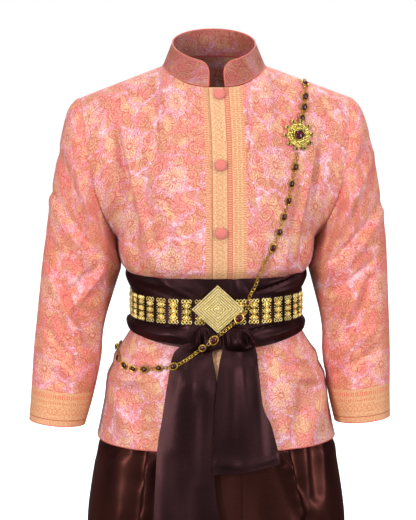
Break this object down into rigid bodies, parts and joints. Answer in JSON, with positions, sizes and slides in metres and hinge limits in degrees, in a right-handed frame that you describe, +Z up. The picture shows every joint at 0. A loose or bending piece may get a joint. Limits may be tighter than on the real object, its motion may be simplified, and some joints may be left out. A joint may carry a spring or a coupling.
{
  "type": "thai formal dress set",
  "caption": "Worn Thai formal set: brocade jacket with stand collar, knotted satin sash, gold belt and jewelled chain, and wrapped satin trousers.",
  "frame": {"origin": "centre of the base of the neck, where the wearer's shoulders and neck hold the outfit up", "axes": "+Z up along the body, the wearer faces -Y, +X is the wearer's left"},
  "size_m": [0.6326, 0.3505, 1.1],
  "materials": {
    "brocade": "woven brocade, coral with gold and pink threads, soft sheen",
    "collar_brocade": "darker rosy brocade",
    "button_cloth": "covered in plain salmon cloth",
    "sash_satin": "dark brown satin",
    "kraben_satin": "dark red-brown satin",
    "gold": "gold plated filigree",
    "ruby": "dark red glass stone, deep and opaque at this size"
  },
  "bodies": {
    "root": {"belt_left": "gold", "belt_right": "gold", "brooch": "gold", "brooch_ruby": "ruby", "buckle": "gold", "button_1": "button_cloth", "button_2": "button_cloth", "button_3": "button_cloth", "chain_back": "gold", "chain_chest": "gold", "chain_shoulder": "gold", "chain_waist": "gold", "collar": "collar_brocade", "jacket_back": "brocade", "jacket_front_left": "brocade", "jacket_front_right": "brocade", "kraben_centre_pleat": "kraben_satin", "kraben_left": "kraben_satin", "kraben_right": "kraben_satin", "sash_band": "sash_satin", "sash_knot": "sash_satin", "sash_tail_left": "sash_satin", "sash_tail_right": "sash_satin", "sleeve_left": "brocade", "sleeve_right": "brocade"}
  },
  "joints": []
}
